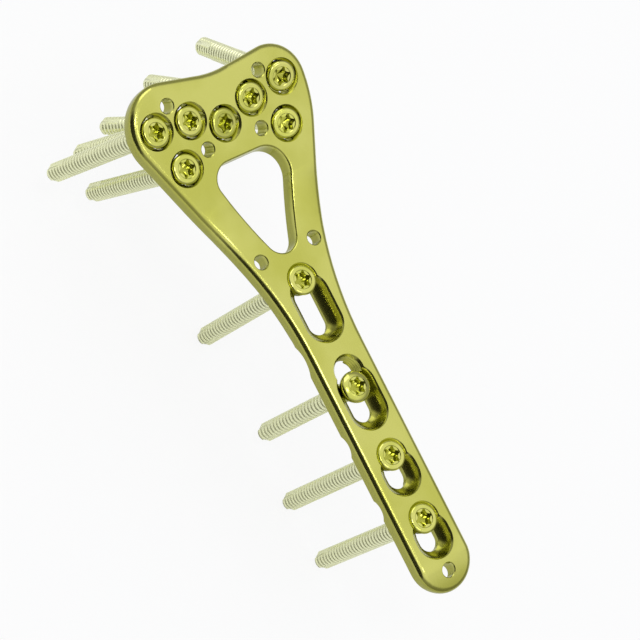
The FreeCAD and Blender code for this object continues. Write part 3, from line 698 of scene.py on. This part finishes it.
class Finish:
    """Node tree of a material or a world, built node by node."""

    def __init__(self, owner):
        owner.use_nodes = True
        self.tree = owner.node_tree
        self.tree.nodes.clear()

    def node(self, kind, settings=None, inputs=None, output=0):
        """Add a node with its settings, then the values or links of its sockets."""
        made = self.tree.nodes.new(kind)
        for name, value in (settings or {}).items():
            setattr(made, name, value)
        for key, value in (inputs or {}).items():
            if isinstance(value, Signal):
                self.tree.links.new(value.socket, made.inputs[key])
            else:
                made.inputs[key].default_value = value
        return Signal(self, made.outputs[output]) if made.outputs else None

    def noise(self, scale, stretch=(1, 1, 1), detail=2.0):
        """Noise on the object's own coordinates, with features per metre."""
        spot = self.node("ShaderNodeTexCoord", output="Object")
        stretched = self.node("ShaderNodeMapping", {}, {"Vector": spot, "Scale": stretch})
        return self.node("ShaderNodeTexNoise", {},
                         {"Vector": stretched, "Scale": scale, "Detail": detail})

    def depth(self):
        """Depth below the plate's top face, which rises with the head past the bend."""
        spot = self.node("ShaderNodeTexCoord", output="Object")
        along, up = (self.node("ShaderNodeSeparateXYZ", {}, {"Vector": spot}, output=axis)
                     for axis in "YZ")
        rise = self.node("ShaderNodeMath", {"operation": "MAXIMUM"},
                         {0: (along - BEND_LINE) * math.tan(HEAD_TILT), 1: 0.0})
        return rise - up + THICKNESS

    def ramp(self, signal, low, high):
        """0 below low, 1 above high, smooth between."""
        return self.node("ShaderNodeMapRange", {"interpolation_type": "SMOOTHSTEP"},
                         {"Value": signal, "From Min": low, "From Max": high})

    def blend(self, factor, first, second):
        """Colour between two colours."""
        return self.node("ShaderNodeMix", {"data_type": "RGBA"},
                         {"Factor": factor, "A": first, "B": second}, output="Result")


def rgba(colour):
    """Colour with full cover."""
    return (*colour, 1.0)


def metal(name, build):
    """Material whose varying values come from a build function."""
    material = bpy.data.materials.new(name)
    finish = Finish(material)
    colour, shine, roughness, relief = build(finish)
    bump = finish.node("ShaderNodeBump", {}, {"Strength": 1.0, "Distance": RELIEF_HEIGHT,
                                              "Height": relief})
    surface = finish.node("ShaderNodeBsdfPrincipled", {}, {
        "Base Color": colour, "Metallic": shine, "Roughness": roughness, "Normal": bump})
    finish.node("ShaderNodeOutputMaterial", {}, {"Surface": surface})
    return material


def plate_metal(sizes):
    """Satin anodised titanium: drifting tone, faint milling lines, and painted shade on the
    walls and in the holes.
    """
    def build(finish):
        cloud = finish.noise(PLATE_CLOUDS, detail=FINE_DETAIL)
        cloud = finish.ramp(cloud, *PLATE_CLOUD_EDGES)
        lines = finish.noise(MILLING_LINES, MILLING_STRETCH, FINE_DETAIL)
        grain = finish.noise(PLATE_GRAIN)
        face = finish.blend(cloud * (1 - LINE_SHARE) + lines * LINE_SHARE,
                            rgba(sizes.light_tone), rgba(sizes.deep_tone))
        # Painted shade: the walls and holes below the top face take the darker colour
        wall = finish.ramp(finish.depth(), *PAINTED_SHADE_DEPTHS)
        colour = finish.blend(wall, face, rgba(sizes.shaded_wall_tone))
        roughness = sizes.roughness - PLATE_DRIFT + cloud * PLATE_DRIFT + lines * PLATE_DRIFT
        return colour, 1.0, roughness, grain * sizes.grain + lines * LINE_RELIEF
    return metal(PLATE_FINISH, build)


def screw_metal(sizes):
    """Polished anodised titanium with painted shade in the recesses, paler below the plate."""
    def build(finish):
        depth = finish.depth()
        # Painted shade in the recesses and down the heads below the plate's top face
        recess = finish.ramp(depth, *PAINTED_SHADE_DEPTHS)
        shank = finish.ramp(depth, *SHANK_DEPTHS)
        cloud = finish.ramp(finish.noise(SCREW_CLOUDS), *SCREW_CLOUD_EDGES)
        grain = finish.noise(SCREW_GRAIN)
        head = finish.blend(cloud, rgba(sizes.light_tone), rgba(sizes.deep_tone))
        head = finish.blend(recess, head, rgba(sizes.painted_recess_shade))
        colour = finish.blend(shank, head, rgba(sizes.shank_tone))
        roughness = (sizes.roughness - SCREW_DRIFT / 2 + cloud * SCREW_DRIFT
                     + shank * SHANK_DULLNESS)
        return colour, 1 - shank * SHANK_PALENESS, roughness, grain * SCREW_RELIEF
    return metal(SCREW_FINISH, build)


def plate_flats():
    """Normals of the plate's flat faces: shaft, head, tapered tip and straight sides."""
    up = Vector((0, 0, 1))
    tilts = (0, HEAD_TILT, TIP_SLOPE, -TIP_LIFT)
    level = [Matrix.Rotation(tilt, 3, "X") @ up for tilt in tilts]
    return level + [-normal for normal in level] + [Vector((-1, 0, 0)), Vector((1, 0, 0))]


class WRISTPLATE_OT_plate(bpy.types.Operator):
    """Copy the plate and cut the thread into its locking holes"""

    bl_idname = "wristplate.plate"
    bl_label = "Plate"

    def execute(self, context):
        sizes = context.scene.wrist_plate
        deselect()
        plate = copy_of(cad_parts["bone_plate"], "plate_with_threaded_holes")
        bpy.ops.mesh.customdata_custom_splitnormals_clear()
        close_up(plate)
        holes = HEAD_SCREWS + SHAFT_SCREWS + (FREE_ROUND_HOLE,)
        combine(plate, join([groove_cutter(sizes, hole) for hole in holes]), "DIFFERENCE")
        with editing(plate):
            bpy.ops.mesh.dissolve_limited(angle_limit=DISSOLVE_ANGLE)
        finish_piece(plate, "bone_plate", plate_metal(sizes),
                     plate_flats())
        return {"FINISHED"}


class WRISTPLATE_OT_locking_screws(bpy.types.Operator):
    """Build the locking screws, one model for each length"""

    bl_idname = "wristplate.locking_screws"
    bl_label = "Locking screws"

    def execute(self, context):
        sizes = context.scene.wrist_screws
        material = screw_metal(sizes)
        head = locking_head(sizes)
        top = -HEAD_SINK - HEAD_HEIGHT - SHANK_START
        models = {}
        for screw in HEAD_SCREWS + SHAFT_SCREWS:
            if screw.length not in models:
                pitch = (sizes.head_screw_pitch if screw in HEAD_SCREWS
                         else sizes.shaft_screw_pitch)
                shank = threaded_shank(sizes, pitch, top, -screw.length)
                model = copy_of(head, "LockingModel")
                combine(model, shank, "UNION")
                models[screw.length] = model
            piece = copy_of(models[screw.length], f"dressed_{screw.node}")
            place(piece, screw_place(screw))
            finish_piece(piece, screw.node, material, [screw_axis(screw)])
        for model in (head, *models.values()):
            discard(model)
        return {"FINISHED"}


class WRISTPLATE_OT_cortex_screw(bpy.types.Operator):
    """Build the cortex screw with its domed head"""

    bl_idname = "wristplate.cortex_screw"
    bl_label = "Cortex screw"

    def execute(self, context):
        sizes = context.scene.wrist_screws
        piece = cortex_head(sizes)
        piece.name = piece.data.name = f"dressed_{CORTEX_SCREW.node}"
        top = BALL_CENTRE - math.sqrt(BALL_RADIUS ** 2 - SHANK_RADIUS ** 2) + SHANK_INSIDE
        shank = threaded_shank(sizes, sizes.cortex_pitch, top, -CORTEX_SCREW.length)
        combine(piece, shank, "UNION")
        place(piece, screw_place(CORTEX_SCREW))
        finish_piece(piece, CORTEX_SCREW.node, bpy.data.materials[SCREW_FINISH],
                     [screw_axis(CORTEX_SCREW)])
        return {"FINISHED"}


def white_for_camera(finish):
    """1 for what the camera sees directly or through glass, else 0."""
    camera = finish.node("ShaderNodeLightPath", output="Is Camera Ray")
    glass = finish.node("ShaderNodeLightPath", output="Is Transmission Ray")
    return finish.node("ShaderNodeMath", {"operation": "MAXIMUM"}, {0: camera, 1: glass})


def light_the_room(stage):
    """World: even light, a white backdrop, and a studio's walls and ceiling for the metal."""
    world = bpy.data.worlds.new("Studio")
    bpy.context.scene.world = world
    finish = Finish(world)
    way = finish.node("ShaderNodeTexCoord", output="Generated")   # a ray's direction
    height = finish.node("ShaderNodeSeparateXYZ", {}, {"Vector": way}, output="Z")
    ceiling = finish.ramp(height, *CEILING_EDGES)
    plain = finish.blend(ceiling, rgba([stage.shaded_wall_tone] * 3), rgba((1, 1, 1)))
    towards = finish.node("ShaderNodeVectorMath", {"operation": "DOT_PRODUCT"},
                          {0: way, 1: SCREEN_WAY}, output="Value")
    screen = finish.ramp(towards, *SCREEN_EDGE)
    walls = finish.blend(screen, plain, rgba([stage.screen_tone] * 3))
    even = finish.node("ShaderNodeBackground", {}, {"Color": rgba((1, 1, 1)),
                                                    "Strength": stage.sky_strength})
    room = finish.node("ShaderNodeBackground", {}, {"Color": walls, "Strength": 1.0})
    white = finish.node("ShaderNodeBackground", {}, {"Color": rgba((1, 1, 1)),
                                                     "Strength": 1.0})
    glossy = finish.node("ShaderNodeLightPath", output="Is Glossy Ray")
    lit = finish.node("ShaderNodeMixShader", {}, {0: glossy, 1: even, 2: room})
    seen = finish.node("ShaderNodeMixShader", {}, {0: white_for_camera(finish), 1: lit,
                                                   2: white})
    finish.node("ShaderNodeOutputWorld", {}, {"Surface": seen})


def add_floor(stage):
    """Pale floor under the screw tips, shown nearly white to the camera."""
    lowest = min(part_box(screw.node)[0][2] for screw in HEAD_SCREWS + SHAFT_SCREWS)
    deselect()
    bpy.ops.mesh.primitive_plane_add(size=stage.floor_size,
                                     location=(0, 0, lowest - stage.floor_drop))
    floor = bpy.context.object
    floor.name = "studio_floor"
    material = bpy.data.materials.new("Pale floor")
    finish = Finish(material)
    cloud = finish.ramp(finish.noise(FLOOR_CLOUDS), *FLOOR_CLOUD_EDGES)
    dark = tuple(FLOOR_DARKER * value for value in stage.floor_colour)
    colour = finish.blend(cloud, rgba(stage.floor_colour), rgba(dark))
    paper = finish.node("ShaderNodeBsdfPrincipled", {}, {"Base Color": colour,
                                                         "Roughness": FLOOR_ROUGHNESS})
    white = finish.node("ShaderNodeEmission", {}, {"Color": rgba((1, 1, 1)),
                                                   "Strength": 1.0})
    share = white_for_camera(finish) * FLOOR_WHITE
    seen = finish.node("ShaderNodeMixShader", {}, {0: share, 1: paper, 2: white})
    finish.node("ShaderNodeOutputMaterial", {}, {"Surface": seen})
    floor.data.materials.append(material)


def add_lamp(lamp):
    """Square softbox that faces the plate's middle."""
    deselect()
    bpy.ops.object.light_add(type="AREA", location=lamp.spot)
    softbox = bpy.context.object
    softbox.name = lamp.name
    softbox.data.shape = "SQUARE"
    softbox.data.size = lamp.size
    softbox.data.energy = lamp.power
    softbox.rotation_euler = (LAMP_AIM - Vector(lamp.spot)).to_track_quat("-Z", "Y").to_euler()


class WRISTPLATE_OT_stage(bpy.types.Operator):
    """Set up the floor, the soft lamps, the room and the camera"""

    bl_idname = "wristplate.stage"
    bl_label = "Stage"

    def execute(self, context):
        stage = context.scene.wrist_stage
        light_the_room(stage)
        add_floor(stage)
        for lamp in LAMPS:
            add_lamp(lamp)
        deselect()
        bpy.ops.object.camera_add(location=stage.camera_place, rotation=stage.camera_turn)
        camera = context.object
        camera.data.lens = stage.lens
        camera.data.clip_start = NEAREST_SEEN
        context.scene.camera = camera
        context.scene.view_settings.view_transform = "Standard"
        return {"FINISHED"}


class WRISTPLATE_PT_panel(bpy.types.Panel):
    """Lists the pieces and the stage"""

    bl_idname = "WRISTPLATE_PT_panel"
    bl_label = "Wrist plate"
    bl_space_type = "VIEW_3D"
    bl_region_type = "UI"
    bl_category = "Wrist plate"

    def draw(self, context):
        for group, operators in (
                (context.scene.wrist_plate, ("wristplate.plate",)),
                (context.scene.wrist_screws, ("wristplate.locking_screws",
                                              "wristplate.cortex_screw")),
                (context.scene.wrist_stage, ("wristplate.stage",))):
            box = self.layout.box()
            for name in group.bl_rna.properties.keys():
                if name not in ("rna_type", "name"):
                    box.prop(group, name)
            for operator in operators:
                box.operator(operator)


CLASSES = (PlateSettings, ScrewSettings, StageSettings, WRISTPLATE_OT_plate,
           WRISTPLATE_OT_locking_screws, WRISTPLATE_OT_cortex_screw, WRISTPLATE_OT_stage,
           WRISTPLATE_PT_panel)


def register():
    """Register the classes and hang the settings on the scene."""
    for item in CLASSES:
        bpy.utils.register_class(item)
    bpy.types.Scene.wrist_plate = bpy.props.PointerProperty(type=PlateSettings)
    bpy.types.Scene.wrist_screws = bpy.props.PointerProperty(type=ScrewSettings)
    bpy.types.Scene.wrist_stage = bpy.props.PointerProperty(type=StageSettings)


def unregister():
    """Take the settings and the classes away again."""
    del bpy.types.Scene.wrist_plate
    del bpy.types.Scene.wrist_screws
    del bpy.types.Scene.wrist_stage
    for item in reversed(CLASSES):
        bpy.utils.unregister_class(item)


def main():
    """Build every piece and the stage."""
    register()
    bpy.ops.wristplate.plate()
    bpy.ops.wristplate.locking_screws()
    bpy.ops.wristplate.cortex_screw()
    bpy.ops.wristplate.stage()


if __name__ == "__main__":
    main()
